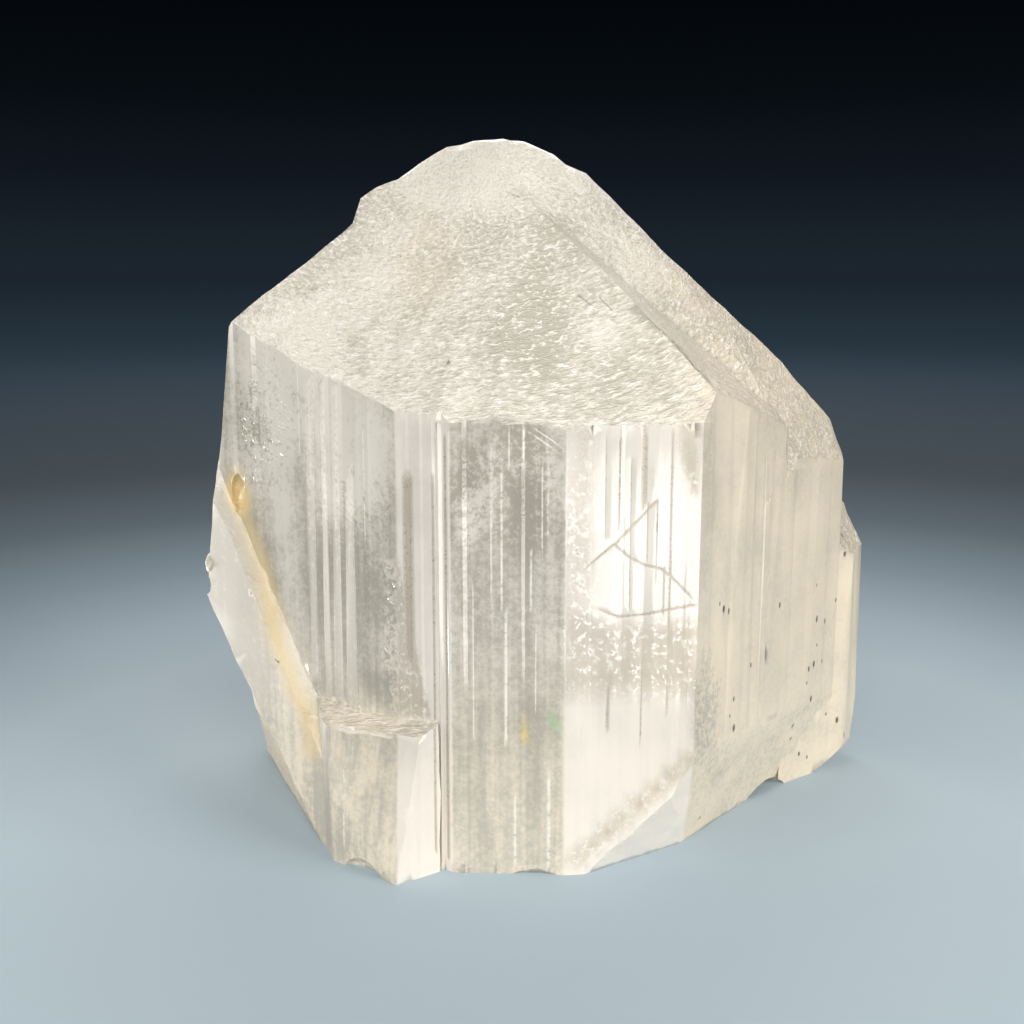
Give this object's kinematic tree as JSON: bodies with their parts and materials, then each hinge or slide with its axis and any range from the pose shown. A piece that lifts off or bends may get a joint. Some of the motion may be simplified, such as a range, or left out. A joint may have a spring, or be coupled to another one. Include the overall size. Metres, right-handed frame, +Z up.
{
  "type": "topaz crystal",
  "caption": "Pale, nearly colourless natural topaz crystal with an etched dome tip, striated prism sides and a broken base.",
  "frame": {"origin": "centre of the bounding box in plan, on the flat cleaved base that the crystal stands on", "axes": "+Z up the crystal's long axis to the tip, +X to the right and +Y to the back as seen from the front, where the etched dome is"},
  "size_m": [0.0632, 0.045, 0.0601],
  "materials": {
    "topaz": "clear with a faint straw tint, frosted by etching on the tip and satin on the broken faces"
  },
  "bodies": {
    "root": {"topaz_crystal": "topaz"}
  },
  "joints": []
}
